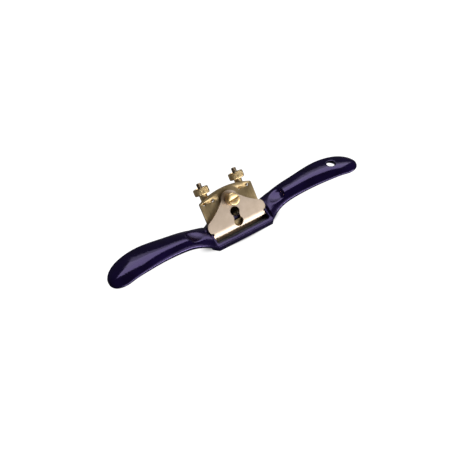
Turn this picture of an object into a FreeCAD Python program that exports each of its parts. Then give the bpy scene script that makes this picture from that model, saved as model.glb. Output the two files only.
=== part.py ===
import FreeCAD, Part
import math
import os
import Sketcher
from FreeCAD import Placement, Rotation, Vector

# A flat spokeshave. The origin is the middle of the cutting edge on the sole: +X runs to the right
# handle, -Y to the toe, +Z up. The bed leans back, so what lies on it is drawn in a frame of its own:
# x across, y up the slope from the cutting edge, z out of the blade's upper face.

doc = FreeCAD.newDocument("spokeshave")
sheet = doc.addObject("Spreadsheet::Sheet", "dims")

SIZES = [
    ("tool_length", 254.0, "tip to tip"),
    ("blade_width", 54.0, "blade"),
    ("side_gap", 0.3, "blade to cheek, each side"),
    ("cheek_thick", 5.7, "cheek beside the blade"),
    ("body_width", "=blade_width + 2 * (side_gap + cheek_thick)", "sole, side to side"),
    ("handle_reach", "=(tool_length - body_width) / 2", "sole's side to the tip"),
    ("bed_angle", 45.0, "bed above the sole, degrees"),
    ("toe_front", 9.6, "toe ahead of the cutting edge"),
    ("toe_height", 6.0, "toe above the sole"),
    ("toe_lean", 0.4, "draft of the toe's front face"),
    ("toe_corner", 4.6, "bevel across each front corner"),
    ("mouth_ahead", 1.6, "mouth ahead of the cutting edge"),
    ("mouth_relief", 3.7, "mouth wall leans forward by this at the toe's top"),
    ("plate_thick", 7.2, "bed plate"),
    ("plate_inset", 2.5, "bed plate inside the blade's side, at the top"),
    ("plate_top", 31.0, "bed plate's end, up the slope"),
    ("plate_shoulder", 14.5, "where the plate starts to narrow, up the slope"),
    ("plate_taper", 3.5, "slope length over which it narrows"),
    ("plate_corner", 3.5, "plate's top corners"),
    ("lug_up", 8.9, "back of the side lugs, up the slope"),
    ("lug_rise", 2.9, "lug above the blade's face"),
    ("foot_beyond", 4.2, "bed plate's foot beyond the blade's side"),
    ("cheek_drop", 0.3, "cheek above the blade's face behind the lugs"),
    ("tip_forward", 5.0, "tip ahead of the handle's last full section"),
    ("tip_droop", 0.3, "tip below the handle's last full section"),
    ("hang_hole", 8.2, "hanging hole bore"),
    ("hang_from_tip", 23.5, "hanging hole's centre from the tip"),
    ("hang_back", 4.9, "hanging hole's centre behind the cutting edge"),
    ("hang_wall", 4.3, "straight part of the hanging hole, down from the handle's crest"),
    ("hang_flare", 42.0, "flare of the hanging hole below its straight part, degrees from its axis"),
    ("dish_depth", 2.6, "thumb rest"),
    ("dish_ball", 17.0, "radius of the thumb rest"),
    ("dish_from_body", 5.5, "thumb rest's centre beyond the sole's side"),
    ("dish_behind", 2.2, "thumb rest's centre behind the handle's middle"),
    ("blade_thick", 2.0, "blade"),
    ("bevel_angle", 27.0, "ground bevel, degrees"),
    ("edge_set", 0.35, "cutting edge drawn back from the sole at rest"),
    ("blade_side", 37.1, "blade's top corners, up the slope"),
    ("blade_crown", 5.5, "rise of the blade's crowned end"),
    ("blade_corner", 1.2, "radius of the blade's top corners"),
    ("slot_long", 11.4, "adjuster slot"),
    ("slot_gap", 0.2, "adjuster slot to flange, each face"),
    ("slot_eye", 2.9, "round ends of the adjuster slot"),
    ("middle_slot", 8.4, "slot for the cap screw"),
    ("middle_low", 10.8, "lower end of the cap screw's slot"),
    ("middle_high", 27.0, "upper end of the cap screw's slot"),
    ("cap_low", 4.0, "lever cap's lower edge, up the slope"),
    ("cap_rise", 4.0, "lever cap's face above the blade"),
    ("cap_thick", 3.0, "lever cap plate"),
    ("cap_lip", 2.6, "lip that bears on the blade, along the slope"),
    ("cap_seat_gap", 0.05, "lip to blade"),
    ("cap_bevel_long", 5.4, "sloping front of the lever cap"),
    ("cap_bevel_deep", 1.4, "fall of that slope"),
    ("ear_step", 1.2, "ear beyond the blade's side where its curve starts"),
    ("ear_round", 6.5, "radius of the ear"),
    ("lug_gap", 0.3, "ear to the back of the lug"),
    ("notch_long", 2.3, "notch below the ear, along the slope"),
    ("notch_round", 1.2, "radius of the notch"),
    ("shoulder_in", 1.5, "where the ear meets the flank, inside the blade's side"),
    ("shoulder_up", 19.3, "where the ear meets the flank, up the slope"),
    ("flank_round", 60.0, "hollow flank"),
    ("lobe_round", 8.4, "top lobe round the thumb screw"),
    ("lobe_join", 15.0, "where the flank meets the lobe, degrees above its middle"),
    ("key_eye", 9.2, "round entry of the keyhole"),
    ("key_neck", 6.6, "keyhole's narrow end"),
    ("key_low", 9.4, "centre of the entry, up the slope"),
    ("screw_up", 18.9, "cap screw, up the slope"),
    ("screw_shank", 6.0, "cap screw"),
    ("screw_head", 8.6, "cap screw"),
    ("screw_rim", 0.5, "straight rim of the cap screw's head"),
    ("screw_dome", 1.0, "dome above the rim"),
    ("screw_slot", 1.1, "width of the driver slot"),
    ("screw_slot_deep", 0.9, "depth of the driver slot"),
    ("screw_slot_turn", 90.0, "how the slot stands at rest, degrees"),
    ("screw_short", 0.2, "cap screw's end short of the plate's back"),
    ("thumb_up", 30.4, "thumb screw, up the slope"),
    ("thumb_head", 11.2, "thumb screw"),
    ("thumb_top", 13.0, "thumb screw's face above the blade"),
    ("thumb_deep", 7.0, "thickness of its head"),
    ("thumb_shank", 5.0, "thumb screw"),
    ("thumb_slot", 1.5, "width of the driver slot"),
    ("thumb_slot_deep", 1.5, "depth of the driver slot"),
    ("thumb_slot_turn", 7.0, "how the slot stands at rest, degrees"),
    ("head_round", 0.7, "rounded rim of the thumb screw's head"),
    ("stud_apart", 36.7, "between the adjuster studs"),
    ("stud_below", 6.0, "stud axis below the blade's face"),
    ("stud_across", 4.8, "adjuster stud"),
    ("stud_root", 17.0, "stud's lower end, up the slope"),
    ("stud_end", 53.9, "stud's upper end, up the slope"),
    ("stud_tip", 0.6, "bevel on the stud's end"),
    ("boss_round", 4.8, "boss round the stud"),
    ("boss_end", 32.0, "boss's end, up the slope"),
    ("flange_up", 35.5, "middle of the nut's flange, up the slope"),
    ("flange_across", 13.0, "nut flange"),
    ("flange_thick", 1.8, "nut flange"),
    ("neck_across", 7.2, "nut neck"),
    ("nut_low", 43.5, "lower face of the nut's head, up the slope"),
    ("nut_head", 14.3, "nut head"),
    ("nut_thick", 6.0, "nut head"),
    ("nut_bevel", 0.5, "bevel on the nut's rims"),
    ("running_gap", 0.05, "turning screws and nuts, radial"),
    ("seat_gap", 0.05, "screw head to lever cap, screw tip to blade"),
    ("cut_over", 1.0, "how far a cut runs past what it cuts"),
    ("arc_ease", 1.0001, "radius of a half circle over half its chord, which keeps its constraints solvable"),
]

# One row per place along a handle: how far out beyond the sole's side, then the section's centre behind
# the cutting edge, its centre above the sole, its depth front to back and its thickness.
HANDLE_ROWS = [
    ("root", (-3.0, 4.5, 5.4, 26.2, 10.2)),
    ("neck", (2.8, 6.8, 6.4, 24.0, 10.6)),
    ("rest", (9.4, 8.3, 8.3, 21.8, 10.6)),
    ("wrist", ("=handle_reach * 0.22", 8.9, 11.7, 21.2, 10.4)),
    ("waist", ("=handle_reach * 0.37", 8.2, 15.1, 22.2, 9.9)),
    ("swell", ("=handle_reach * 0.52", 7.0, 18.3, 24.3, 9.7)),
    ("palm", ("=handle_reach * 0.67", 5.1, 20.8, 26.0, 9.2)),
    ("droop", ("=handle_reach * 0.798", 2.4, 22.1, 25.6, 8.4)),
]
ROW_WORDS = ("out", "back", "rise", "deep", "thick")

# The corners of a section one unit deep and one thick: back edge, ridge, front, and three round the belly.
SECTION_CORNERS = [(0.50, 0.05), (-0.14, 0.50), (-0.50, -0.10), (-0.30, -0.46), (0.12, -0.50), (0.44, -0.26)]
CORNER_REACH = 0.22     # the poles by a corner, as a share of the way to the next corner
SECTION_DEGREE = 3
LOFT_DEGREE = 5

# The tip closes along an arc: its last section stands at this angle, where 90 is the very end.
SECTIONS_IN_TIP = 6
TIP_SWEEP = 84.0
TIP_FULL = 2.2          # above 2 keeps the tip fuller than an ellipse
TIP_BLUNT = 0.46        # below 0.5 makes its end blunter
TIP_THICK = 0.8         # below 1 holds the thickness longer than the depth

SAME_LINE = 1e-6        # two directions or places that differ by less are the same
LEAST_CUT = 1e-6        # mm3 that a cut has to take away


def fill_sheet():
    """Write every size with its alias, one to a row."""
    rows = [(name, value, note) for name, value, note in SIZES]
    for place, values in HANDLE_ROWS:
        for word, value in zip(ROW_WORDS, values):
            rows.append((place + "_" + word, value, "handle section"))
    for line, (name, value, note) in enumerate(rows, start=1):
        sheet.set("A%d" % line, name)
        sheet.set("B%d" % line, str(value))
        sheet.set("C%d" % line, note)
        sheet.setAlias("B%d" % line, name)
    doc.recompute()


def size(expression):
    """The number that an expression of sheet sizes gives."""
    return float(sheet.evalExpression(expression))


def tied(expression):
    """The same expression, written for an object outside the sheet."""
    words = []
    word = ""
    for letter in expression + " ":
        if letter.isalnum() or letter == "_":
            word += letter
            continue
        if word and word[0].isalpha() and word not in ("sin", "cos", "tan", "deg", "sqrt"):
            word = "dims." + word
        words.append(word + letter)
        word = ""
    return "".join(words).strip()


def bind(obj, prop, expression):
    """Drive a property with sheet sizes."""
    obj.setExpression(prop, tied(expression))


def new_body(name, across="0", slope="0", out="0", on_bed=True):
    """A PartDesign body whose own frame is the bed's, moved to a place given in that frame."""
    body = doc.addObject("PartDesign::Body", name)
    body.Label = name
    if on_bed:
        angle = "bed_angle * 1 deg"
        body.Placement = Placement(Vector(), Rotation(Vector(1, 0, 0), size("bed_angle")))
        bind(body, "Placement.Rotation.Angle", "bed_angle")
        bind(body, "Placement.Base.x", across)
        bind(body, "Placement.Base.y", "(%s) * cos(%s) - (%s) * sin(%s)" % (slope, angle, out, angle))
        bind(body, "Placement.Base.z", "(%s) * sin(%s) + (%s) * cos(%s)" % (slope, angle, out, angle))
    return body


def new_sketch(body, name, plane, along_bed=False, lift="0"):
    """A sketch on one of the body's planes, raised along its normal, turned to the bed if asked."""
    support = [f for f in body.Origin.OriginFeatures if f.Role == plane + "_Plane"][0]
    sketch = body.newObject("Sketcher::SketchObject", name)
    sketch.AttachmentSupport = [(support, "")]
    sketch.MapMode = "FlatFace"
    if along_bed:
        turn = Vector(0, 0, 1) if plane == "YZ" else Vector(1, 0, 0)
        sketch.AttachmentOffset = Placement(Vector(), Rotation(turn, size("bed_angle")))
        bind(sketch, "AttachmentOffset.Rotation.Angle", "bed_angle")
    if lift != "0":
        bind(sketch, "AttachmentOffset.Base.z", lift)
    return sketch


def outline(sketch, corners):
    """A closed outline. A corner is (x, y), or (x, y, radius) where the edge that leaves it is an arc:
    a radius with no sign bulges to the right of the way round, and one with a minus to the left."""
    spots = [Vector(size(c[0]), size(c[1]), 0) for c in corners]
    ends = []
    for i, corner in enumerate(corners):
        a, b = spots[i], spots[(i + 1) % len(spots)]
        if len(corner) == 2:
            ends.append((sketch.addGeometry(Part.LineSegment(a, b), False), 1, 2))
            continue
        left = corner[2].startswith("-")
        radius = size(corner[2].lstrip("-"))
        chord = b - a
        half = chord.Length / 2
        sagitta = radius - math.sqrt(max(radius ** 2 - half ** 2, 0))
        side = Vector(chord.y, -chord.x, 0).normalize() * (-1 if left else 1)
        arc = Part.Arc(a, (a + b) / 2 + side * sagitta, b)
        index = sketch.addGeometry(arc, False)
        ends.append((index, 2, 1) if left else (index, 1, 2))
        sketch.addConstraint(Sketcher.Constraint("Radius", index, radius))
        sketch.renameConstraint(sketch.ConstraintCount - 1, "round_%d" % i)
        bind(sketch, "Constraints.round_%d" % i, corner[2].lstrip("-"))
    for i, corner in enumerate(corners):
        index, start, _ = ends[i]
        before, _, end = ends[i - 1]
        sketch.addConstraint(Sketcher.Constraint("Coincident", before, end, index, start))
        for kind, expression in zip("XY", corner[:2]):
            datum = Sketcher.Constraint("Distance" + kind, -1, 1, index, start, size(expression))
            sketch.addConstraint(datum)
            label = "%s_%d" % (kind.lower(), i)
            sketch.renameConstraint(sketch.ConstraintCount - 1, label)
            bind(sketch, "Constraints." + label, expression)
    return sketch


def both_sides(corners):
    """Close a right half outline, listed upwards from the bottom, with its mirror image."""
    mirrored = []
    for i in range(len(corners) - 1, -1, -1):
        bend = corners[i - 1][2:] if i else ()
        mirrored.append(("-(%s)" % corners[i][0], corners[i][1]) + bend)
    return list(corners) + mirrored


def circle(sketch, x, y, across):
    """A circle at a place given by sheet sizes."""
    disc = Part.Circle(Vector(size(x), size(y), 0), Vector(0, 0, 1), size(across) / 2)
    index = sketch.addGeometry(disc, False)
    for kind, spot, expression in (("DistanceX", 3, x), ("DistanceY", 3, y)):
        sketch.addConstraint(Sketcher.Constraint(kind, -1, 1, index, spot, size(expression)))
        label = "%s_%d" % (kind, index)
        sketch.renameConstraint(sketch.ConstraintCount - 1, label)
        bind(sketch, "Constraints." + label, expression)
    sketch.addConstraint(Sketcher.Constraint("Diameter", index, size(across)))
    sketch.renameConstraint(sketch.ConstraintCount - 1, "across_%d" % index)
    bind(sketch, "Constraints.across_%d" % index, across)
    return sketch


def pad(sketch, length, midplane=False, down=False):
    """Pad a sketch by a length given by sheet sizes."""
    body = sketch.getParentGeoFeatureGroup()
    feature = body.newObject("PartDesign::Pad", sketch.Name + "_pad")
    feature.Profile = sketch
    feature.Midplane = midplane
    feature.Reversed = down
    bind(feature, "Length", length)
    doc.recompute()
    return feature


def pocket(sketch, length, midplane=False, up=False):
    """Pocket a sketch, and make sure that it took something away."""
    body = sketch.getParentGeoFeatureGroup()
    before = body.Shape.Volume
    feature = body.newObject("PartDesign::Pocket", sketch.Name + "_pocket")
    feature.Profile = sketch
    feature.Midplane = midplane
    feature.Reversed = up
    bind(feature, "Length", length)
    doc.recompute()
    if body.Shape.Volume > before - LEAST_CUT:
        raise RuntimeError(sketch.Name + " cut nothing")
    return feature


def mirror(body, name, features):
    """Mirror features across the tool's middle plane."""
    middle = [f for f in body.Origin.OriginFeatures if f.Role == "YZ_Plane"][0]
    feature = body.newObject("PartDesign::Mirrored", name)
    feature.Originals = features
    feature.MirrorPlane = (middle, [""])
    body.Tip = feature
    doc.recompute()
    return feature


def turned(name, profile, across, slope, out, along):
    """A turned piece: a half profile of (radius, height) spun about the height axis, which lies along
    the slope ("slope") or stands out of the bed ("out")."""
    body = new_body(name, across, slope, out)
    sketch = new_sketch(body, name + "_profile", "XY" if along == "slope" else "XZ")
    outline(sketch, profile)
    spin = body.newObject("PartDesign::Revolution", name + "_spin")
    spin.Profile = sketch
    spin.ReferenceAxis = (sketch, ["V_Axis"])
    spin.Angle = 360
    doc.recompute()
    return body


def round_edges(body, name, chosen, radius):
    """Fillet the edges that a test picks."""
    base = body.Tip
    names = ["Edge%d" % (i + 1) for i, edge in enumerate(base.Shape.Edges) if chosen(edge)]
    feature = body.newObject("PartDesign::Fillet", name)
    feature.Base = (base, names)
    bind(feature, "Radius", radius)
    doc.recompute()
    return feature


def straight_along(edge, direction):
    """True for a straight edge that runs along a direction."""
    if edge.Curve.TypeId != "Part::GeomLine":
        return False
    return edge.tangentAt(edge.FirstParameter).cross(direction).Length < SAME_LINE


def make_frame():
    """The casting's middle: toe, cheeks and sole, with the bed plate leaning behind them."""
    body = new_body("frame_middle", on_bed=False)
    cheek = "(blade_width / 2 + side_gap)"
    deep = "((blade_thick + plate_thick) / sin(bed_angle * 1 deg))"

    corner = "(body_width / 2 - toe_corner)"
    plan = new_sketch(body, "sole_plan", "XY")
    outline(plan, both_sides([(corner, "-toe_front"),
                              ("body_width / 2", "-toe_front + toe_corner"),
                              ("body_width / 2", deep)]))
    block_top = "(lug_up + lug_rise)"
    pad(plan, block_top)

    # Above the toe and the rising rim, up to the lugs, nothing stands.
    lug_y = "(lug_up * cos(bed_angle * 1 deg) - lug_rise * sin(bed_angle * 1 deg))"
    lug_z = "(lug_up * sin(bed_angle * 1 deg) + lug_rise * cos(bed_angle * 1 deg))"
    rim = new_sketch(body, "rim_side", "YZ")
    outline(rim, [("-toe_front - cut_over", "-cut_over"),
                  ("-toe_front", "0"),
                  ("-toe_front + toe_lean", "toe_height"),
                  ("-mouth_ahead - mouth_relief", "toe_height"),
                  (lug_y, lug_z),
                  (deep + " + cut_over", lug_z),
                  (deep + " + cut_over", block_top + " + cut_over"),
                  ("-toe_front - cut_over", block_top + " + cut_over")])
    pocket(rim, "body_width + cut_over", midplane=True)

    plate = new_sketch(body, "plate_face", "XY", along_bed=True)
    foot = "(blade_width / 2 + foot_beyond)"
    upper = "(blade_width / 2 - plate_inset)"
    outline(plate, both_sides([(foot, "0"),
                               (foot, "plate_shoulder"),
                               (upper, "plate_shoulder + plate_taper"),
                               (upper, "plate_top")]))
    pad(plate, "blade_thick + plate_thick", down=True)
    lean = math.radians(size("bed_angle"))
    up_slope = Vector(0, math.cos(lean), math.sin(lean))
    out_of_bed = Vector(0, -math.sin(lean), math.cos(lean))

    def top_corner(edge):
        above_shoulder = edge.CenterOfMass.dot(up_slope) > size("plate_shoulder + plate_taper") + SAME_LINE
        return straight_along(edge, out_of_bed) and above_shoulder

    round_edges(body, "plate_corners", top_corner, "plate_corner")
    for side, sign in (("left", "-"), ("right", "")):
        boss = new_sketch(body, "boss_" + side, "XZ", along_bed=False)
        boss.AttachmentOffset = Placement(Vector(), Rotation(Vector(1, 0, 0), size("bed_angle")))
        bind(boss, "AttachmentOffset.Rotation.Angle", "bed_angle")
        circle(boss, sign + "stud_apart / 2", "-stud_below", "boss_round * 2")
        pad(boss, "boss_end", down=True)

    under = new_sketch(body, "under_sole", "YZ")
    low, rear = "(-plate_top)", "(plate_top + boss_end)"
    outline(under, [("-toe_front - cut_over", "0"), ("-toe_front - cut_over", low), (rear, low), (rear, "0")])
    pocket(under, "body_width + cut_over", midplane=True)

    # The blade's channel: all that lies above the bed between the cheeks, with the mouth below it.
    far = "(plate_top + boss_end)"
    bed_y = "(blade_thick / sin(bed_angle * 1 deg))"
    far_y = "(%s + %s * cos(bed_angle * 1 deg))" % (bed_y, far)
    far_z = "(%s * sin(bed_angle * 1 deg))" % far
    channel = new_sketch(body, "channel_side", "YZ")
    outline(channel, [("-mouth_ahead", "-cut_over"),
                      (bed_y + " - cut_over / tan(bed_angle * 1 deg)", "-cut_over"),
                      (far_y, far_z),
                      ("-mouth_ahead - mouth_relief", far_z),
                      ("-mouth_ahead - mouth_relief", "toe_height"),
                      ("-mouth_ahead", "0")])
    pocket(channel, cheek + " * 2", midplane=True)

    # Behind the lugs the cheeks drop, which leaves room for the lever cap's ears.
    ears = new_sketch(body, "ears_side", "YZ", along_bed=True)
    outline(ears, [("lug_up", "cheek_drop"), (far, "cheek_drop"),
                   (far, block_top), ("lug_up", block_top)])
    pocket(ears, "body_width + cut_over", midplane=True)

    screw = new_sketch(body, "screw_place", "XY", along_bed=True)
    circle(screw, "0", "screw_up", "screw_shank + running_gap * 2")
    pocket(screw, "blade_thick + plate_thick + cut_over")
    studs = new_sketch(body, "stud_places", "XZ")
    studs.AttachmentOffset = Placement(Vector(), Rotation(Vector(1, 0, 0), size("bed_angle")))
    bind(studs, "AttachmentOffset.Rotation.Angle", "bed_angle")
    bind(studs, "AttachmentOffset.Base.y", "stud_root * sin(bed_angle * 1 deg)")
    bind(studs, "AttachmentOffset.Base.z", "-stud_root * cos(bed_angle * 1 deg)")
    for sign in ("-", ""):
        circle(studs, sign + "stud_apart / 2", "-stud_below", "stud_across")
    pocket(studs, "plate_top")
    return body


def smooth_loop(poles):
    """A closed cubic curve steered by a ring of poles, smooth all the way round."""
    knots = list(range(len(poles) + 1))
    curve = Part.BSplineCurve()
    curve.buildFromPolesMultsKnots(poles, [1] * len(knots), knots, True, SECTION_DEGREE)
    return curve.toShape()


def handle_section(out, back, rise, deep, thick):
    """A section across a handle, deep front to back: a ridge ahead of the middle, a falling front
    face, a full belly and a thinner back edge. Two poles by each corner keep the corners firm."""
    count = len(SECTION_CORNERS)
    ring = []
    for i, (y, z) in enumerate(SECTION_CORNERS):
        for beside_y, beside_z in (SECTION_CORNERS[i - 1], SECTION_CORNERS[(i + 1) % count]):
            ring.append(Vector(0, y + (beside_y - y) * CORNER_REACH, z + (beside_z - z) * CORNER_REACH))
    box = smooth_loop(ring).optimalBoundingBox()
    poles = [Vector(out,
                    back + (p.y - box.Center.y) / box.YLength * deep,
                    rise + (p.z - box.Center.z) / box.ZLength * thick) for p in ring]
    return Part.Wire([smooth_loop(poles)])


def make_handle(name, mirrored):
    """One handle, lofted through its sections and closed by a rounded tip."""
    side, tip = size("body_width / 2"), size("tool_length / 2")
    wires = []
    for place, _ in HANDLE_ROWS:
        out, back, rise, deep, thick = [size(place + "_" + word) for word in ROW_WORDS]
        wires.append(handle_section(side + out, back, rise, deep, thick))
    round_start = side + out
    for step in range(1, SECTIONS_IN_TIP + 1):
        along = math.sin(math.radians(TIP_SWEEP * step / SECTIONS_IN_TIP))
        shrink = (1 - along ** TIP_FULL) ** TIP_BLUNT
        wires.append(handle_section(round_start + (tip - round_start) * along,
                                    back - size("tip_forward") * along,
                                    rise - size("tip_droop") * along ** 2,
                                    deep * shrink,
                                    thick * shrink ** TIP_THICK))
    shape = Part.makeLoft(wires, True, False, False, LOFT_DEGREE)
    if mirrored:
        shape = shape.mirror(Vector(), Vector(1, 0, 0))
    handle = doc.addObject("Part::Feature", name)
    handle.Shape = shape
    return handle


def make_cutters():
    """The hanging hole through the right handle, its flare below, and the ball of each thumb rest."""
    hole = doc.addObject("Part::Cylinder", "hanging_hole")
    bind(hole, "Radius", "hang_hole / 2")
    bind(hole, "Height", "tool_length / 2")
    bind(hole, "Placement.Base.x", "tool_length / 2 - hang_from_tip")
    bind(hole, "Placement.Base.y", "hang_back")
    straight_end = "(droop_rise + droop_thick / 2 - hang_wall)"
    flare = doc.addObject("Part::Cone", "hanging_flare")
    bind(flare, "Radius1", "hang_hole / 2 + %s * tan(hang_flare * 1 deg)" % straight_end)
    bind(flare, "Radius2", "hang_hole / 2")
    bind(flare, "Height", straight_end)
    bind(flare, "Placement.Base.x", "tool_length / 2 - hang_from_tip")
    bind(flare, "Placement.Base.y", "hang_back")
    cutters = [hole, flare]
    for name, sign in (("thumb_dish_left", "-"), ("thumb_dish_right", "")):
        ball = doc.addObject("Part::Sphere", name)
        bind(ball, "Radius", "dish_ball")
        bind(ball, "Placement.Base.x", sign + "(body_width / 2 + dish_from_body)")
        bind(ball, "Placement.Base.y", "rest_back + dish_behind")
        bind(ball, "Placement.Base.z", "rest_rise + rest_thick / 2 + dish_ball - dish_depth")
        cutters.append(ball)
    return cutters


def make_casting():
    """The whole body casting: the middle and both handles in one piece of iron."""
    fused = doc.addObject("Part::MultiFuse", "casting_blank")
    fused.Shapes = [make_frame(), make_handle("handle_left", True), make_handle("handle_right", False)]
    tools = doc.addObject("Part::MultiFuse", "casting_cutters")
    tools.Shapes = make_cutters()
    casting = doc.addObject("Part::Cut", "body_casting")
    casting.Base = fused
    casting.Tool = tools
    casting.Label = "body_casting"
    doc.recompute()
    return casting


def make_blade():
    """The cutter: flat tool steel with a crowned end, ground on the underside, slotted for the cap
    screw and for the two adjusting nuts."""
    body = new_body("blade")
    crown = "((blade_width / 2)^2 + blade_crown^2) / (2 * blade_crown)"
    plan = new_sketch(body, "blade_plan", "XY")
    outline(plan, both_sides([("blade_width / 2", "edge_set"),
                              ("blade_width / 2", "blade_side", crown)]))
    pad(plan, "blade_thick", down=True)

    def top_corner(edge):
        return straight_along(edge, Vector(0, 0, 1)) and edge.CenterOfMass.y > size("blade_side") / 2

    round_edges(body, "blade_corners", top_corner, "blade_corner")
    bevel = new_sketch(body, "blade_bevel", "YZ")
    slant = "cut_over / tan(bevel_angle * 1 deg)"
    run = "(blade_thick + cut_over) / tan(bevel_angle * 1 deg)"
    outline(bevel, [("edge_set - " + slant, "cut_over"),
                    ("edge_set - " + slant, "-blade_thick - cut_over"),
                    ("edge_set + " + run, "-blade_thick - cut_over")])
    pocket(bevel, "blade_width + cut_over", midplane=True)

    middle = new_sketch(body, "middle_opening", "XY", lift="cut_over")
    outline(middle, both_sides([("middle_slot / 2", "middle_low"),
                                ("middle_slot / 2", "middle_high", "middle_slot / 2 * arc_ease")]))
    pocket(middle, "blade_thick + cut_over * 2")
    half = "((flange_thick + slot_gap * 2) / 2)"
    inner = "(stud_apart / 2 - slot_long / 2 + slot_eye / 2)"
    outer = "(stud_apart / 2 + slot_long / 2 - slot_eye / 2)"
    slot = new_sketch(body, "adjuster_slot", "XY", lift="cut_over")
    outline(slot, [(inner, "flange_up - " + half), (outer, "flange_up - " + half),
                   (outer, "flange_up + " + half), (inner, "flange_up + " + half)])
    eyes = new_sketch(body, "adjuster_eyes", "XY", lift="cut_over")
    circle(eyes, inner, "flange_up", "slot_eye")
    circle(eyes, outer, "flange_up", "slot_eye")
    cuts = [pocket(slot, "blade_thick + cut_over * 2"), pocket(eyes, "blade_thick + cut_over * 2")]
    mirror(body, "other_slot", cuts)
    return body


def make_lever_cap():
    """The lever cap: a cast plate, hollow below so that only its front lip bears on the blade, with
    ears behind the cheek lugs, a lobe round the thumb screw and a keyhole for the cap screw."""
    body = new_body("lever_cap")
    corner = "blade_width / 2"
    plan = new_sketch(body, "cap_plan", "XY", lift="cap_rise - cap_thick")
    outline(plan, both_sides([
        (corner, "cap_low"),
        (corner, "lug_up + lug_gap - notch_long", "-notch_round"),
        (corner, "lug_up + lug_gap"),
        (corner + " + ear_step", "lug_up + lug_gap", "ear_round"),
        (corner + " - shoulder_in", "shoulder_up", "-flank_round"),
        ("lobe_round * cos(lobe_join * 1 deg)", "thumb_up + lobe_round * sin(lobe_join * 1 deg)",
         "lobe_round")]))
    pad(plan, "cap_thick")
    lip = new_sketch(body, "cap_lip_plan", "XY", lift="cap_seat_gap")
    outline(lip, both_sides([(corner, "cap_low"), (corner, "cap_low + cap_lip")]))
    pad(lip, "cap_rise - cap_thick - cap_seat_gap")
    front = new_sketch(body, "cap_front", "YZ")
    outline(front, [("cap_low - cap_bevel_long", "cap_rise - cap_bevel_deep * 2"),
                    ("cap_low + cap_bevel_long", "cap_rise"),
                    ("cap_low + cap_bevel_long", "cap_rise + cut_over"),
                    ("cap_low - cap_bevel_long", "cap_rise + cut_over")])
    pocket(front, "blade_width + cut_over", midplane=True)
    above, through = "cap_rise + cut_over", "cap_rise + cut_over * 2"
    eye = new_sketch(body, "key_entry", "XY", lift=above)
    circle(eye, "0", "key_low", "key_eye")
    pocket(eye, through)
    neck = new_sketch(body, "key_slot", "XY", lift=above)
    outline(neck, both_sides([("key_neck / 2", "key_low"),
                              ("key_neck / 2", "screw_up", "key_neck / 2 * arc_ease")]))
    pocket(neck, through)
    thread = new_sketch(body, "thumb_hole", "XY", lift=above)
    circle(thread, "0", "thumb_up", "thumb_shank + running_gap * 2")
    pocket(thread, through)
    return body


def driver_slot(body, top, width, deep, turn):
    """The screwdriver slot across a screw's head."""
    sketch = new_sketch(body, body.Label + "_slot", "XY", lift=top)
    bind(sketch, "AttachmentOffset.Rotation.Angle", turn)
    across = "(screw_head + thumb_head)"
    outline(sketch, both_sides([(across, "-%s / 2" % width), (across, width + " / 2")]))
    pocket(sketch, deep)


def make_cap_screw():
    """The cap screw: a blackened slotted screw with a low dome, threaded into the bed plate."""
    seat = "(cap_rise + seat_gap)"
    top = seat + " + screw_rim + screw_dome"
    dome_round = "((screw_head / 2)^2 + screw_dome^2) / (2 * screw_dome)"
    end = "screw_short - blade_thick - plate_thick"
    body = turned("cap_screw", [
        ("0", end),
        ("screw_shank / 2", end),
        ("screw_shank / 2", seat),
        ("screw_head / 2", seat),
        ("screw_head / 2", seat + " + screw_rim", dome_round),
        ("0", top)], "0", "screw_up", "0", "out")
    driver_slot(body, top, "screw_slot", "screw_slot_deep", "screw_slot_turn")
    return body


def make_thumb_screw():
    """The thumb screw: a plain brass drum, slotted across, on a shank whose end clamps the blade."""
    low = "(thumb_top - thumb_deep)"
    body = turned("thumb_screw", [
        ("0", "seat_gap"),
        ("thumb_shank / 2", "seat_gap"),
        ("thumb_shank / 2", low),
        ("thumb_head / 2 - head_round", low, "head_round"),
        ("thumb_head / 2", low + " + head_round"),
        ("thumb_head / 2", "thumb_top - head_round", "head_round"),
        ("thumb_head / 2 - head_round", "thumb_top"),
        ("0", "thumb_top")], "0", "thumb_up", "0", "out")
    driver_slot(body, "thumb_top", "thumb_slot", "thumb_slot_deep", "thumb_slot_turn")
    return body


def make_stud(name, sign):
    """An adjuster stud: a steel rod screwed into its boss, parallel to the bed."""
    return turned(name, [
        ("0", "0"),
        ("stud_across / 2", "0"),
        ("stud_across / 2", "stud_end - stud_root - stud_tip"),
        ("stud_across / 2 - stud_tip", "stud_end - stud_root"),
        ("0", "stud_end - stud_root")], sign + "stud_apart / 2", "stud_root", "-stud_below", "slope")


def make_nut(name, sign):
    """An adjusting nut: a brass knurled head, a neck, and a flange that turns in the blade's slot."""
    bore = "stud_across / 2 + running_gap"
    low, high = "(nut_low - flange_up)", "(nut_low - flange_up + nut_thick)"
    flange, head = "flange_across / 2", "nut_head / 2"
    return turned(name, [
        (bore, "-flange_thick / 2"),
        (flange, "-flange_thick / 2"),
        (flange, "flange_thick / 2"),
        ("neck_across / 2", "flange_thick / 2"),
        ("neck_across / 2", low),
        (head + " - nut_bevel", low),
        (head, low + " + nut_bevel"),
        (head, high + " - nut_bevel"),
        (head + " - nut_bevel", high),
        (bore, high)], sign + "stud_apart / 2", "flange_up", "-stud_below", "slope")


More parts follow.
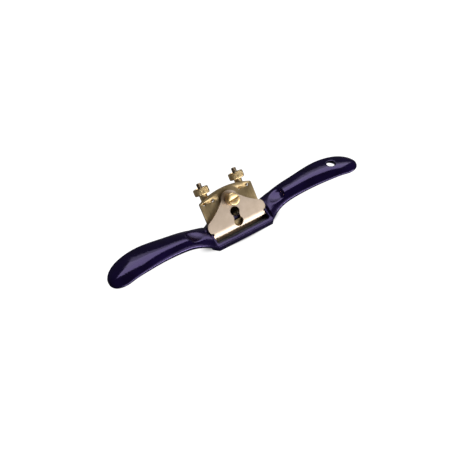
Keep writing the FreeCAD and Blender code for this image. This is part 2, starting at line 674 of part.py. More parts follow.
def check_and_write(pieces):
    """Stop at anything that failed, then write each piece to its own file."""
    doc.recompute()
    for obj in doc.Objects:
        if "Invalid" in obj.State or "Error" in obj.State:
            raise RuntimeError("%s failed: %s" % (obj.Name, obj.State))
    for piece in pieces:
        if piece.Shape.isNull() or not piece.Shape.isValid():
            raise RuntimeError(piece.Label + " has no valid shape")
        if len(piece.Shape.Solids) != 1:
            raise RuntimeError("%s has %d solids" % (piece.Label, len(piece.Shape.Solids)))
    os.makedirs("parts", exist_ok=True)
    for piece in pieces:
        piece.Shape.exportStep("parts/%s.step" % piece.Label)
        print(piece.Label, round(piece.Shape.Volume, 1), "mm3")


fill_sheet()
all_pieces = [make_casting(), make_blade(), make_lever_cap(), make_cap_screw(), make_thumb_screw()]
for side, sign in (("left", "-"), ("right", "")):
    all_pieces.append(make_stud("adjuster_stud_" + side, sign))
    all_pieces.append(make_nut("adjuster_nut_" + side, sign))
check_and_write(all_pieces)
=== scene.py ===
import math

import bpy
from mathutils import Matrix, Vector


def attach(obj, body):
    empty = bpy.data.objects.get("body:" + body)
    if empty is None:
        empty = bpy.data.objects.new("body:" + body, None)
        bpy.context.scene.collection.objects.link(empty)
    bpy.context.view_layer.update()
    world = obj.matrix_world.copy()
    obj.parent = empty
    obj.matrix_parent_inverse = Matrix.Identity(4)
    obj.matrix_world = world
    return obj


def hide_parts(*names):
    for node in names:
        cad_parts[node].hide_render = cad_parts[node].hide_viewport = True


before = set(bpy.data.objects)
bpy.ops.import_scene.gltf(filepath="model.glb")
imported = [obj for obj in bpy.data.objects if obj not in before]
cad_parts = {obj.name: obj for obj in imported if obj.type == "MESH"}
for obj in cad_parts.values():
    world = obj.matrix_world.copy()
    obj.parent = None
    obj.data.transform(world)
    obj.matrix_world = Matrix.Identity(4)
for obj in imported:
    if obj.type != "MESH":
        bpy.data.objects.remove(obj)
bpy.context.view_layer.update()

# ---- The body casting ----
# One piece of sand-cast grey iron: a narrow sole with a toe, two winged handles and a leaning bed.
# It is dipped in gloss enamel, which softens every edge, and then the sole is ground bare and flat.

MM = 0.001
CAST_GRAIN = 0.55 * MM      # the detail that casting and enamel leave
GRIND_ALLOWANCE = 0.8 * MM  # extra iron below the sole before it is ground
MERGE = 0.002 * MM
REST_ACROSS = 38.5 * MM     # the middle of each thumb rest
REST_BACK = 9.0 * MM
REST_FLOOR = 10.9 * MM
REST_BALL = 25.0 * MM       # the pattern maker's round scraper
REST_SOFT = 12.0 * MM
SOFTEN = 5                  # passes of smoothing, all over and then on the thumb rests
SOFTEN_RESTS = 30


def pick(piece):
    """Make one object the only one selected, and the active one."""
    bpy.ops.object.select_all(action="DESELECT")
    piece.select_set(True)
    bpy.context.view_layer.objects.active = piece


def merged_copy(node, name):
    """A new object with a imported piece's mesh, its loose triangles joined up."""
    piece = bpy.data.objects.new(name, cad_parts[node].data.copy())
    bpy.context.scene.collection.objects.link(piece)
    pick(piece)
    bpy.ops.mesh.customdata_custom_splitnormals_clear()
    bpy.ops.object.mode_set(mode="EDIT")
    bpy.ops.mesh.select_all(action="SELECT")
    bpy.ops.mesh.remove_doubles(threshold=MERGE)
    bpy.ops.object.mode_set(mode="OBJECT")
    return piece


def shape_with(piece, kind, **settings):
    """Add a modifier and apply it."""
    pick(piece)
    bpy.ops.object.modifier_add(type=kind)
    modifier = piece.modifiers[-1]
    for setting, value in settings.items():
        setattr(modifier, setting, value)
    bpy.ops.object.modifier_apply(modifier=modifier.name)


def in_edit(piece, *steps):
    """Run operators on a piece in edit mode with all of it selected first."""
    pick(piece)
    bpy.ops.object.mode_set(mode="EDIT")
    bpy.ops.mesh.select_all(action="SELECT")
    for step in steps:
        step()
    bpy.ops.object.mode_set(mode="OBJECT")


def smooth_below(piece, degrees):
    """Shade smooth, apart from edges sharper than an angle."""
    pick(piece)
    bpy.ops.object.shade_smooth_by_angle(angle=math.radians(degrees))


casting = merged_copy("body_casting", "enamelled_casting")
for point in casting.data.vertices:
    if point.co.z < MERGE:
        point.co.z = -GRIND_ALLOWANCE
shape_with(casting, "REMESH", mode="VOXEL", voxel_size=CAST_GRAIN)
soft = casting.vertex_groups.new(name="thumb_rests")
for point in casting.data.vertices:
    away = math.hypot(abs(point.co.x) - REST_ACROSS, point.co.y - REST_BACK)
    if away < REST_SOFT and point.co.z > REST_FLOOR - 2 * MM:
        scraped = REST_FLOOR + REST_BALL - math.sqrt(REST_BALL ** 2 - away ** 2)
        point.co.z = min(point.co.z, scraped)
        soft.add([point.index], 1.0, "REPLACE")
shape_with(casting, "SMOOTH", factor=0.5, iterations=SOFTEN)
shape_with(casting, "SMOOTH", factor=0.5, iterations=SOFTEN_RESTS, vertex_group="thumb_rests")
in_edit(casting,
        lambda: bpy.ops.mesh.bisect(plane_co=(0, 0, 0), plane_no=(0, 0, 1), use_fill=True,
                                    clear_inner=True, threshold=MERGE))
smooth_below(casting, 35)


def srgb(code):
    """A hex colour as the linear values that a shader takes."""
    parts = [int(code[i:i + 2], 16) / 255 for i in (1, 3, 5)]
    return [c / 12.92 if c <= 0.04045 else ((c + 0.055) / 1.055) ** 2.4 for c in parts] + [1.0]


def blank(name, **constants):
    """A new material: its tree and its shader, with the values that are the same all over."""
    material = bpy.data.materials.new(name)
    material.use_nodes = True
    shader = material.node_tree.nodes["Principled BSDF"]
    for socket, value in constants.items():
        shader.inputs[socket.replace("_", " ")].default_value = value
    return material, material.node_tree, shader


def node(tree, kind, feeds=None, **settings):
    """Add a node. Feeds give its sockets' values, or the outputs that they are linked to."""
    made = tree.nodes.new("ShaderNode" + kind)
    for name, value in settings.items():
        setattr(made, name, value)
    for socket, value in (feeds or {}).items():
        if isinstance(value, bpy.types.NodeSocket):
            tree.links.new(value, made.inputs[socket])
        else:
            made.inputs[socket].default_value = value
    return made


def clad(piece, *materials):
    """Give a piece its materials in place of any that came with its mesh."""
    piece.data.materials.clear()
    for material in materials:
        piece.data.materials.append(material)


def per_metre(size):
    """The noise scale that repeats about once in a size."""
    return 1 / size


# Baked gloss enamel, dipped and fired: deep violet-navy, wet-looking, faintly uneven where it ran,
# and coarser over the roots, where the sand casting underneath was not dressed.
ENAMEL = "#08031a"
ENAMEL_THIN = "#10072b"
SHEEN_TINT = "#c0a8ff"
ENAMEL_RUN = 14 * MM
ORANGE_PEEL = 1.6 * MM
SAND_GRAIN = 0.55 * MM
ROOT_START = 33 * MM    # the undressed sand shows from the sole out to here, and has faded by ROOT_END
ROOT_END = 50 * MM
enamel, tree, shader = blank("gloss_enamel_on_cast_iron", Specular_Tint=srgb(SHEEN_TINT), Coat_Weight=0.08,
                             Coat_Roughness=0.1)
place = node(tree, "TexCoord").outputs["Object"]
runs = node(tree, "TexNoise", {"Vector": place, "Scale": per_metre(ENAMEL_RUN), "Detail": 3.0})
thinning = node(tree, "MapRange", {"Value": runs.outputs["Fac"], "From Min": 0.35, "From Max": 0.75})
tint = node(tree, "Mix", {"Factor": thinning.outputs["Result"], "A": srgb(ENAMEL), "B": srgb(ENAMEL_THIN)},
            data_type="RGBA")
tree.links.new(tint.outputs["Result"], shader.inputs["Base Color"])
peel = node(tree, "TexNoise", {"Vector": place, "Scale": per_metre(ORANGE_PEEL), "Detail": 2.0})
grain = node(tree, "TexNoise", {"Vector": place, "Scale": per_metre(SAND_GRAIN), "Detail": 3.0})
sides = node(tree, "SeparateXYZ", {"Vector": place})
reach = node(tree, "Math", {0: sides.outputs["X"]}, operation="ABSOLUTE")
near_root = node(tree, "MapRange", {"Value": reach.outputs["Value"], "From Min": ROOT_START,
                                    "From Max": ROOT_END, "To Min": 1.0, "To Max": 0.0},
                 interpolation_type="SMOOTHSTEP")
sand = node(tree, "Math", {0: grain.outputs["Fac"], 1: near_root.outputs["Result"]}, operation="MULTIPLY")
gloss = node(tree, "MapRange", {"Value": sand.outputs["Value"], "From Min": 0.1, "From Max": 0.7,
                                "To Min": 0.13, "To Max": 0.38})
tree.links.new(gloss.outputs["Result"], shader.inputs["Roughness"])
skin = node(tree, "Bump", {"Height": peel.outputs["Fac"], "Strength": 0.30, "Distance": 0.10 * MM})
rough = node(tree, "Bump", {"Height": sand.outputs["Value"], "Strength": 0.35, "Distance": 0.12 * MM,
                            "Normal": skin.outputs["Normal"]})
tree.links.new(rough.outputs["Normal"], shader.inputs["Normal"])

# The ground sole: bright grey iron with lines from the belt, which runs from toe to heel. The real lines
# are finer, and these are drawn coarse enough to show.
IRON = "#8d8a86"
IRON_DARK = "#6f6b67"
BELT_LINE = 0.35 * MM
ground, tree, shader = blank("belt_ground_cast_iron", Metallic=1.0)
place = node(tree, "TexCoord").outputs["Object"]
stretch = node(tree, "Mapping", {"Vector": place, "Scale": (1.0, 0.02, 1.0)})
lines = node(tree, "TexNoise", {"Vector": stretch.outputs["Vector"], "Scale": per_metre(BELT_LINE),
                                "Detail": 2.0})
tint = node(tree, "Mix", {"Factor": lines.outputs["Fac"], "A": srgb(IRON_DARK), "B": srgb(IRON)},
            data_type="RGBA")
tree.links.new(tint.outputs["Result"], shader.inputs["Base Color"])
gloss = node(tree, "MapRange", {"Value": lines.outputs["Fac"], "To Min": 0.28, "To Max": 0.45})
tree.links.new(gloss.outputs["Result"], shader.inputs["Roughness"])
cut = node(tree, "Bump", {"Height": lines.outputs["Fac"], "Strength": 0.25, "Distance": 0.03 * MM})
tree.links.new(cut.outputs["Normal"], shader.inputs["Normal"])

clad(casting, enamel, ground)
for face in casting.data.polygons:
    if face.normal.z < -0.99 and face.center.z < MERGE:
        face.material_index = 1
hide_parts("body_casting")
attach(casting, "frame")

# ---- The adjuster studs ----
# Two steel rods with a rolled thread, screwed into the casting behind the bed and left oily.
# The bed leans back, so each piece on it is made upright in the bed's own frame and then laid on it.

BED_ANGLE = math.radians(45)
BED = Matrix.Rotation(BED_ANGLE, 4, "X")
STUD_HALF_APART = 18.35 * MM
STUD_BELOW = 6.0 * MM
STUD_ROOT = 17.0 * MM
STUD_END = 53.9 * MM
STUD_RADIUS = 2.4 * MM
STUD_TIP = 0.6 * MM
THREAD_START = 31.0 * MM
PITCH = 0.8 * MM
THREAD_DEPTH = 0.42 * MM
THREAD_STEPS = 6
ROUND = 32
ALONG_BED = Matrix.Rotation(math.radians(-90), 4, "X")


def turned(name, profile, steps):
    """A turned piece: a profile of (radius, height) spun round the upright axis.

    Ends on the axis close it."""
    mesh = bpy.data.meshes.new(name)
    mesh.from_pydata([(r, 0, z) for r, z in profile], [(i, i + 1) for i in range(len(profile) - 1)], [])
    piece = bpy.data.objects.new(name, mesh)
    bpy.context.scene.collection.objects.link(piece)
    in_edit(piece,
            lambda: bpy.ops.mesh.spin(steps=steps, angle=2 * math.pi, center=(0, 0, 0), axis=(0, 0, 1)),
            lambda: bpy.ops.mesh.select_all(action="SELECT"),
            lambda: bpy.ops.mesh.remove_doubles(threshold=MERGE),
            lambda: bpy.ops.mesh.normals_make_consistent(inside=False))
    return piece


def saw(value):
    """How far a value is from the middle of its unit step, 0 at the middle and 1 at both ends."""
    return abs(value % 1 - 0.5) * 2


def cut_thread(piece, radius, low, high, depth):
    """Sink a helical groove into the barrel of a turned piece, fading out at both ends."""
    for point in piece.data.vertices:
        out = math.hypot(point.co.x, point.co.y)
        if low < point.co.z < high and out > radius - MERGE:
            turn = math.atan2(point.co.y, point.co.x) / (2 * math.pi)
            fade = min(1, (point.co.z - low) / PITCH, (high - point.co.z) / PITCH)
            factor = 1 - depth * fade * saw(point.co.z / PITCH - turn) / out
            point.co.x *= factor
            point.co.y *= factor


def steps_between(radius, low, high, step):
    """Profile points up a straight barrel."""
    count = round((high - low) / step)
    return [(radius, low + (high - low) * i / count) for i in range(count + 1)]


def settle(piece, across, slope, out, stand):
    """Lay a piece made about the origin on the bed. Its mesh moves, and its object stays at the origin."""
    where = BED @ Matrix.Translation((across, slope, out)) @ stand
    piece.data.transform(where)
    piece.data.update()


def new_stud(name):
    length = STUD_END - STUD_ROOT
    start = THREAD_START - STUD_ROOT
    profile = [(0, 0), (STUD_RADIUS, 0)]
    profile += steps_between(STUD_RADIUS, start, length - STUD_TIP, PITCH / THREAD_STEPS)
    profile += [(STUD_RADIUS - STUD_TIP, length), (0, length)]
    piece = turned(name, profile, ROUND)
    cut_thread(piece, STUD_RADIUS, start, length - STUD_TIP / 2, THREAD_DEPTH)
    smooth_below(piece, 40)
    return piece


# Rolled steel thread, oiled: brown-grey, with brighter patches where the oil has been wiped off.
OILED = "#5c4d3d"
WIPED = "#b0a08c"
OIL_PATCH = 2.5 * MM
stud_steel, tree, shader = blank("oiled_rolled_steel", Metallic=1.0)
place = node(tree, "TexCoord").outputs["Object"]
oil = node(tree, "TexNoise", {"Vector": place, "Scale": per_metre(OIL_PATCH), "Detail": 4.0})
tint = node(tree, "Mix", {"Factor": oil.outputs["Fac"], "A": srgb(OILED), "B": srgb(WIPED)},
            data_type="RGBA")
tree.links.new(tint.outputs["Result"], shader.inputs["Base Color"])
gloss = node(tree, "MapRange", {"Value": oil.outputs["Fac"], "To Min": 0.25, "To Max": 0.5})
tree.links.new(gloss.outputs["Result"], shader.inputs["Roughness"])

for side, sign in (("left", -1), ("right", 1)):
    stud = new_stud("threaded_stud_" + side)
    settle(stud, sign * STUD_HALF_APART, STUD_ROOT, -STUD_BELOW, ALONG_BED)
    clad(stud, stud_steel)
    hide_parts("adjuster_stud_" + side)
    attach(stud, "frame")

# ---- The blade ----
# Flat tool steel, hardened, surface-ground along its length and bevelled on the underside.
# It has a crowned end, a middle slot for the cap screw and two slots that the nuts' flanges turn in.

BLADE_ARRIS = 0.12 * MM
FLAT_WITHIN = math.radians(0.6)     # faces this near to flat are one face
blade = merged_copy("blade", "ground_blade")
in_edit(blade, lambda: bpy.ops.mesh.dissolve_limited(angle_limit=FLAT_WITHIN))
shape_with(blade, "BEVEL", width=BLADE_ARRIS, segments=2, limit_method="ANGLE",
           angle_limit=math.radians(40))
smooth_below(blade, 30)

# Surface-ground tool steel: warm grey, streaked along its length, and stained duller in patches. The
# real lines are finer, and these are drawn coarse enough to show.
STEEL = "#c2ab84"
STEEL_DARK = "#94805c"
GRIND_LINE = 0.30 * MM
STAIN_PATCH = 9 * MM
steel, tree, shader = blank("surface_ground_tool_steel", Metallic=1.0)
place = node(tree, "TexCoord").outputs["Object"]
along = node(tree, "Mapping", {"Vector": place, "Rotation": (-BED_ANGLE, 0, 0)}).outputs["Vector"]
stretch = node(tree, "Mapping", {"Vector": along, "Scale": (1.0, 0.03, 1.0)})
lines = node(tree, "TexNoise", {"Vector": stretch.outputs["Vector"], "Scale": per_metre(GRIND_LINE),
                                "Detail": 2.0})
stain = node(tree, "TexNoise", {"Vector": along, "Scale": per_metre(STAIN_PATCH), "Detail": 4.0})
blend = node(tree, "Math", {0: lines.outputs["Fac"], 1: stain.outputs["Fac"]}, operation="MULTIPLY")
spread = node(tree, "MapRange", {"Value": blend.outputs["Value"], "From Min": 0.12, "From Max": 0.42})
tint = node(tree, "Mix", {"Factor": spread.outputs["Result"], "A": srgb(STEEL_DARK), "B": srgb(STEEL)},
            data_type="RGBA")
tree.links.new(tint.outputs["Result"], shader.inputs["Base Color"])
gloss = node(tree, "MapRange", {"Value": lines.outputs["Fac"], "To Min": 0.34, "To Max": 0.50})
tree.links.new(gloss.outputs["Result"], shader.inputs["Roughness"])
cut = node(tree, "Bump", {"Height": lines.outputs["Fac"], "Strength": 0.2, "Distance": 0.02 * MM})
tree.links.new(cut.outputs["Normal"], shader.inputs["Normal"])
clad(blade, steel)
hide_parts("blade")
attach(blade, "blade")

# ---- The adjusting nuts ----
# Turned brass: a flange that sits in the blade's slot, a neck, and a head with a rolled diamond knurl.
# Each runs on its stud's thread, so turning it carries the blade up or down the bed.

NUT_BORE = 2.45 * MM
FLANGE_RADIUS = 6.5 * MM
FLANGE_HALF = 0.9 * MM
NECK_RADIUS = 3.6 * MM
FLANGE_UP = 35.5 * MM
HEAD_LOW = 8.0 * MM
HEAD_HIGH = 14.0 * MM
HEAD_RADIUS = 7.15 * MM
HEAD_BEVEL = 0.5 * MM
NUT_ROUND = 144
KNURLS = 36
KNURL_ROW = 1.25 * MM
KNURL_DEPTH = 0.32 * MM
KNURL_STEP = 0.28 * MM
SOFT = 0.15 * MM
DISH = 0.35 * MM


def knurl(piece):
    """Roll a diamond knurl into the head: two crossing sets of grooves leave small pyramids."""
    for point in piece.data.vertices:
        out = math.hypot(point.co.x, point.co.y)
        if out > HEAD_RADIUS - MERGE and HEAD_LOW < point.co.z < HEAD_HIGH:
            around = math.atan2(point.co.y, point.co.x) / (2 * math.pi) * KNURLS
            along = (point.co.z - HEAD_LOW) / KNURL_ROW
            groove = max(saw(around + along / 2), saw(around - along / 2))
            factor = 1 - KNURL_DEPTH * groove / out
            point.co.x *= factor
            point.co.y *= factor


def new_nut(name):
    knurl_low, knurl_high = HEAD_LOW + HEAD_BEVEL, HEAD_HIGH - HEAD_BEVEL
    rim = FLANGE_RADIUS - SOFT
    shell = [(NUT_BORE, -FLANGE_HALF), (rim, -FLANGE_HALF), (FLANGE_RADIUS, -FLANGE_HALF + SOFT),
             (FLANGE_RADIUS, FLANGE_HALF - SOFT), (rim, FLANGE_HALF), (NECK_RADIUS + SOFT * 2, FLANGE_HALF),
             (NECK_RADIUS, FLANGE_HALF + SOFT * 2), (NECK_RADIUS, HEAD_LOW - SOFT * 2),
             (NECK_RADIUS + SOFT * 2, HEAD_LOW), (HEAD_RADIUS - HEAD_BEVEL, HEAD_LOW)]
    shell += steps_between(HEAD_RADIUS, knurl_low, knurl_high, KNURL_STEP)
    shell += [(HEAD_RADIUS - HEAD_BEVEL, HEAD_HIGH), (HEAD_RADIUS - HEAD_BEVEL * 2.6, HEAD_HIGH),
              (HEAD_RADIUS - HEAD_BEVEL * 3.2, HEAD_HIGH - DISH), (NUT_BORE + DISH, HEAD_HIGH - DISH),
              (NUT_BORE, HEAD_HIGH - DISH * 2), (NUT_BORE, -FLANGE_HALF)]
    piece = turned(name, shell, NUT_ROUND)
    knurl(piece)
    smooth_below(piece, 28)
    return piece


# Turned brass: pale yellow, dulled in patches by handling, with a fine tooth left by the lathe tool.
BRASS = "#fbe2b0"
BRASS_DULL = "#e2bb7c"
TARNISH_PATCH = 3 * MM
TOOL_TOOTH = 0.35 * MM
brass, tree, shader = blank("turned_brass", Metallic=1.0)
place = node(tree, "TexCoord").outputs["Object"]
tarnish = node(tree, "TexNoise", {"Vector": place, "Scale": per_metre(TARNISH_PATCH), "Detail": 5.0})
spread = node(tree, "MapRange", {"Value": tarnish.outputs["Fac"], "From Min": 0.35, "From Max": 0.7})
tint = node(tree, "Mix", {"Factor": spread.outputs["Result"], "A": srgb(BRASS), "B": srgb(BRASS_DULL)},
            data_type="RGBA")
tree.links.new(tint.outputs["Result"], shader.inputs["Base Color"])
fine = node(tree, "TexNoise", {"Vector": place, "Scale": per_metre(TOOL_TOOTH), "Detail": 2.0})
gloss = node(tree, "MapRange", {"Value": fine.outputs["Fac"], "To Min": 0.26, "To Max": 0.42})
tree.links.new(gloss.outputs["Result"], shader.inputs["Roughness"])
lathe = node(tree, "Bump", {"Height": fine.outputs["Fac"], "Strength": 0.15, "Distance": 0.02 * MM})
tree.links.new(lathe.outputs["Normal"], shader.inputs["Normal"])

for side, sign in (("left", -1), ("right", 1)):
    nut = new_nut("knurled_nut_" + side)
    settle(nut, sign * STUD_HALF_APART, FLANGE_UP, -STUD_BELOW, ALONG_BED)
    clad(nut, brass)
    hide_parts("adjuster_nut_" + side)
    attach(nut, "nut_" + side)

# ---- The lever cap ----
# A cast plate, satin nickel plated over a linished face, that bears on the blade only at its lower lip.
# Its front rolls down to the lip, ears sit behind the casting's lugs, and a lobe carries the thumb screw.

CAP_FACE = 4.0 * MM
ROLL_TOP = 9.4 * MM
ROLL_LONG = 5.4 * MM
ROLL_DEEP = 0.95 * MM
ROLL_CUTS = 6
SLIVER = 0.03 * MM      # edges shorter than this are closed up
cap = merged_copy("lever_cap", "satin_lever_cap")
cap.data.transform(BED.inverted())
in_edit(cap, lambda: bpy.ops.mesh.dissolve_limited(angle_limit=FLAT_WITHIN))
for step in range(1, ROLL_CUTS + 1):
    height = ROLL_TOP - ROLL_LONG * step / (ROLL_CUTS + 1)
    in_edit(cap, lambda: bpy.ops.mesh.bisect(plane_co=(0, height, 0), plane_no=(0, 1, 0), threshold=MERGE))
for point in cap.data.vertices:
    if point.co.y < ROLL_TOP and point.co.z > CAP_FACE / 2:
        point.co.z = CAP_FACE - ROLL_DEEP * ((ROLL_TOP - point.co.y) / ROLL_LONG) ** 2
in_edit(cap, lambda: bpy.ops.mesh.remove_doubles(threshold=SLIVER))
cap.data.transform(BED)
smooth_below(cap, 40)

# Satin nickel plate: warm silver with a soft gleam drawn out across the plate, and a faint cloudiness.
# The real lines are finer, and these are drawn coarse enough to show.
NICKEL = "#c3b2a1"
NICKEL_DULL = "#a69583"
LINISH_LINE = 0.30 * MM
CLOUD = 7 * MM
satin, tree, shader = blank("satin_nickel_plate", Metallic=1.0)
place = node(tree, "TexCoord").outputs["Object"]
along = node(tree, "Mapping", {"Vector": place, "Rotation": (-BED_ANGLE, 0, 0)}).outputs["Vector"]
stretch = node(tree, "Mapping", {"Vector": along, "Scale": (0.06, 1.0, 1.0)})
lines = node(tree, "TexNoise", {"Vector": stretch.outputs["Vector"], "Scale": per_metre(LINISH_LINE),
                                "Detail": 2.0})
cloud = node(tree, "TexNoise", {"Vector": along, "Scale": per_metre(CLOUD), "Detail": 4.0})
tint = node(tree, "Mix", {"Factor": cloud.outputs["Fac"], "A": srgb(NICKEL_DULL), "B": srgb(NICKEL)},
            data_type="RGBA")
tree.links.new(tint.outputs["Result"], shader.inputs["Base Color"])
gloss = node(tree, "MapRange", {"Value": lines.outputs["Fac"], "To Min": 0.34, "To Max": 0.48})
tree.links.new(gloss.outputs["Result"], shader.inputs["Roughness"])
cut = node(tree, "Bump", {"Height": lines.outputs["Fac"], "Strength": 0.15, "Distance": 0.02 * MM})
tree.links.new(cut.outputs["Normal"], shader.inputs["Normal"])
clad(cap, satin)
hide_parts("lever_cap")
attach(cap, "lever_cap")

# ---- The cap screw ----
# A slotted steel screw with a low domed head, turned from bar and blackened in hot oxide salts.
# It is screwed into the casting through the blade's middle slot, and the cap's keyhole hooks under its head.

SCREW_UP = 18.9 * MM
SCREW_END = -9.0 * MM
SCREW_RADIUS = 3.0 * MM
SCREW_SEAT = 4.05 * MM
SCREW_RIM = 0.5 * MM
SCREW_DOME = 1.0 * MM
SCREW_HEAD = 4.3 * MM
SCREW_SLOT = 1.1 * MM
SCREW_SLOT_DEEP = 0.9 * MM
SCREW_LEAD = 0.4 * MM   # the chamfer that starts the thread
SCREW_ARRIS = 0.12 * MM
SCREW_ROUND = 64
DOME_STEPS = 8
CUTTER_LONG = 30 * MM


def saw_slot(piece, top, width, deep, degrees):
    """Cut a driver slot across a head, through its top."""
    bpy.ops.object.select_all(action="DESELECT")
    bpy.ops.mesh.primitive_cube_add(size=1, location=(0, 0, top))
    cutter = bpy.context.object
    cutter.data.transform(Matrix.Diagonal((CUTTER_LONG, width, deep * 2, 1)))
    cutter.data.transform(Matrix.Rotation(math.radians(degrees), 4, "Z"))
    shape_with(piece, "BOOLEAN", operation="DIFFERENCE", object=cutter, solver="EXACT")
    bpy.data.objects.remove(cutter)


dome_ball = (SCREW_HEAD ** 2 + SCREW_DOME ** 2) / (2 * SCREW_DOME)
top = SCREW_SEAT + SCREW_RIM + SCREW_DOME
profile = [(0, SCREW_END), (SCREW_RADIUS - SCREW_LEAD, SCREW_END), (SCREW_RADIUS, SCREW_END + SCREW_LEAD),
           (SCREW_RADIUS, SCREW_SEAT), (SCREW_HEAD - SOFT, SCREW_SEAT), (SCREW_HEAD, SCREW_SEAT + SOFT)]
for step in range(DOME_STEPS + 1):
    out = SCREW_HEAD * (1 - step / DOME_STEPS)
    profile.append((out, top - dome_ball + math.sqrt(dome_ball ** 2 - out ** 2)))
cap_screw = turned("slotted_cap_screw", profile, SCREW_ROUND)
saw_slot(cap_screw, top, SCREW_SLOT, SCREW_SLOT_DEEP, 90)
shape_with(cap_screw, "BEVEL", width=SCREW_ARRIS, segments=2, limit_method="ANGLE",
           angle_limit=math.radians(45))
smooth_below(cap_screw, 30)
settle(cap_screw, 0, SCREW_UP, 0, Matrix.Identity(4))

# Hot black oxide on steel: near-black and slightly oily, with warm brown patches scattered at random that are
# a painted glint, standing in for a brassy reflection on the head.
OXIDE = "#15120e"
# Painted glint: this warm brown stands for reflected brass light, not for rubbed wear.
PAINTED_GLINT_BROWN = "#4b3a20"
GLINT_PATCH = 1.8 * MM
black, tree, shader = blank("black_oxide_steel", Metallic=1.0)
place = node(tree, "TexCoord").outputs["Object"]
glint_patches = node(tree, "TexNoise", {"Vector": place, "Scale": per_metre(GLINT_PATCH), "Detail": 4.0})
spread = node(tree, "MapRange", {"Value": glint_patches.outputs["Fac"], "From Min": 0.5, "From Max": 0.8})
tint = node(tree, "Mix", {"Factor": spread.outputs["Result"], "A": srgb(OXIDE), "B": srgb(PAINTED_GLINT_BROWN)},
            data_type="RGBA")
tree.links.new(tint.outputs["Result"], shader.inputs["Base Color"])
gloss = node(tree, "MapRange", {"Value": glint_patches.outputs["Fac"], "To Min": 0.2, "To Max": 0.42})
tree.links.new(gloss.outputs["Result"], shader.inputs["Roughness"])
clad(cap_screw, black)
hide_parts("cap_screw")
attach(cap_screw, "cap_screw")

# ---- The thumb screw ----
# A plain brass drum turned from bar, with a rounded rim and a sawn slot.
# It is screwed through the cap's lobe, and its end presses on the blade and so levers the cap's lip down.

THUMB_UP = 30.4 * MM
THUMB_SEAT = 0.05 * MM
THUMB_SHANK = 2.5 * MM
THUMB_LOW = 6.0 * MM
THUMB_TOP = 13.0 * MM
THUMB_RADIUS = 5.6 * MM
THUMB_ROUND = 0.7 * MM
THUMB_SLOT = 1.5 * MM
THUMB_TURN = 7          # degrees that its slot stands turned
THUMB_SIDES = 96
THUMB_ARRIS = 0.1 * MM
ARC_STEPS = 5


def quarter(out, height, radius, first):
    """Profile points round a quarter circle that starts at an angle in degrees."""
    angles = [math.radians(first + 90 * i / ARC_STEPS) for i in range(ARC_STEPS + 1)]
    return [(out + radius * math.cos(a), height + radius * math.sin(a)) for a in angles]


profile = [(0, THUMB_SEAT), (THUMB_SHANK, THUMB_SEAT), (THUMB_SHANK, THUMB_LOW)]
profile += quarter(THUMB_RADIUS - THUMB_ROUND, THUMB_LOW + THUMB_ROUND, THUMB_ROUND, -90)
profile += quarter(THUMB_RADIUS - THUMB_ROUND, THUMB_TOP - THUMB_ROUND, THUMB_ROUND, 0)
profile += [(0, THUMB_TOP)]
thumb = turned("slotted_thumb_screw", profile, THUMB_SIDES)
saw_slot(thumb, THUMB_TOP, THUMB_SLOT, THUMB_SLOT, THUMB_TURN)
shape_with(thumb, "BEVEL", width=THUMB_ARRIS, segments=2, limit_method="ANGLE",
           angle_limit=math.radians(50))
smooth_below(thumb, 30)
settle(thumb, 0, THUMB_UP, 0, Matrix.Identity(4))
clad(thumb, brass)
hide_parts("thumb_screw")
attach(thumb, "thumb_screw")

# ---- The studio ----
# A matt paper table, five soft boxes and a camera that looks down on the tool from the front left.
# The table and the room look white to the camera and grey to everything else.

# The table's glow is cut out over an ellipse under the sole, which paints a shadow beneath the tool.
PAINTED_SHADOW_WIDE = 30 * MM    # under the sole the table stays unlit
PAINTED_SHADOW_DEEP = 8 * MM
TABLE_WIDE = 6.0        # metres
TABLE_DROP = 0.2 * MM
PAPER_CLOUD = 60 * MM
bpy.ops.object.select_all(action="DESELECT")
bpy.ops.mesh.primitive_plane_add(size=TABLE_WIDE, location=(0, 0, -TABLE_DROP))
table = bpy.context.object
table.name = "white_table"
paper, tree, shader = blank("white_paper", Roughness=0.9)
place = node(tree, "TexCoord").outputs["Object"]
fibre = node(tree, "TexNoise", {"Vector": place, "Scale": per_metre(PAPER_CLOUD), "Detail": 2.0})
tint = node(tree, "Mix", {"Factor": fibre.outputs["Fac"], "A": srgb("#727272"), "B": srgb("#777777")},
            data_type="RGBA")
tree.links.new(tint.outputs["Result"], shader.inputs["Base Color"])
shader.inputs["Emission Color"].default_value = srgb("#ffffff")
# Painted shadow: the glow fades to nothing under the sole.
away = node(tree, "VectorMath", {0: place, 1: (1 / PAINTED_SHADOW_WIDE, 1 / PAINTED_SHADOW_DEEP, 0)}, operation="MULTIPLY")
apart = node(tree, "VectorMath", {0: away.outputs["Vector"]}, operation="LENGTH")
glow = node(tree, "MapRange", {"Value": apart.outputs["Value"], "From Min": 1.0, "From Max": 1.5,
                               "To Min": 0.0, "To Max": 1.0}, interpolation_type="SMOOTHSTEP")
seen = node(tree, "LightPath")
shown = node(tree, "Math", {0: glow.outputs["Result"], 1: seen.outputs["Is Camera Ray"]}, operation="MULTIPLY")
tree.links.new(shown.outputs["Value"], shader.inputs["Emission Strength"])
clad(table, paper)


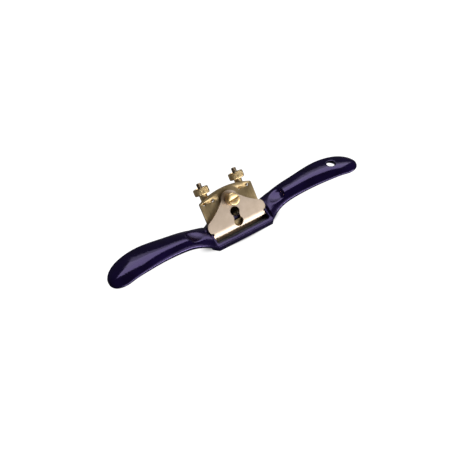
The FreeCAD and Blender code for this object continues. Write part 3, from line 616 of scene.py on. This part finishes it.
def soft_box(name, compass, height, distance, wide, tall, brightness):
    """A rectangular soft light that faces the tool.

    Its place and its extent are angles in degrees, and brightness is how bright its cloth looks."""
    data = bpy.data.lights.new(name, "AREA")
    data.shape = "RECTANGLE"
    data.size = 2 * distance * math.tan(math.radians(wide / 2))
    data.size_y = 2 * distance * math.tan(math.radians(tall / 2))
    data.energy = brightness * math.pi * data.size * data.size_y
    lamp = bpy.data.objects.new(name, data)
    lamp.visible_camera = False
    bpy.context.scene.collection.objects.link(lamp)
    flat = math.cos(math.radians(height))
    towards = Vector((flat * math.cos(math.radians(compass)), flat * math.sin(math.radians(compass)),
                      math.sin(math.radians(height))))
    lamp.matrix_world = (Matrix.Translation(towards * distance)
                         @ towards.to_track_quat("Z", "Y").to_matrix().to_4x4())


# name, compass, height, distance in metres, wide, tall, brightness
for box in (("back_box_high", 52, 68, 1.2, 52, 20, 4.0),
            ("back_box_middle", 52, 51, 1.2, 52, 14, 3.8),
            ("back_box_low", 52, 39, 1.2, 52, 10, 1.6),
            ("front_box", -68, 20, 1.3, 60, 18, 2.0),
            ("low_box", -70, 6, 1.3, 60, 9, 15.0)):
    soft_box(*box)

ROOM_GREY = (0.08, 0.08, 0.085, 1.0)    # linear
ROOM_WHITE = (1.0, 1.0, 1.0, 1.0)
world = bpy.data.worlds.new("room")
bpy.context.scene.world = world
world.use_nodes = True
tree = world.node_tree
back = tree.nodes["Background"]
seen = node(tree, "LightPath")
glow = node(tree, "Mix", {"Factor": seen.outputs["Is Camera Ray"], "A": ROOM_GREY, "B": ROOM_WHITE},
            data_type="RGBA")
tree.links.new(glow.outputs["Result"], back.inputs["Color"])

SENSOR_WIDE = 36    # millimetres
LENS = 40.68
eye = Vector((-0.16450, -0.23087, 0.36102))
right = Vector((0.843, -0.538, 0.0))
up = Vector((0.4198, 0.658, 0.6251))
behind = Vector((-0.33622, -0.52702, 0.78052))
camera_data = bpy.data.cameras.new("camera")
camera_data.sensor_width = SENSOR_WIDE
camera_data.lens = LENS
camera = bpy.data.objects.new("camera", camera_data)
bpy.context.scene.collection.objects.link(camera)
camera.matrix_world = Matrix((
    (right.x, up.x, behind.x, eye.x),
    (right.y, up.y, behind.y, eye.y),
    (right.z, up.z, behind.z, eye.z),
    (0, 0, 0, 1)))
bpy.context.scene.camera = camera
bpy.context.scene.view_settings.view_transform = "Standard"
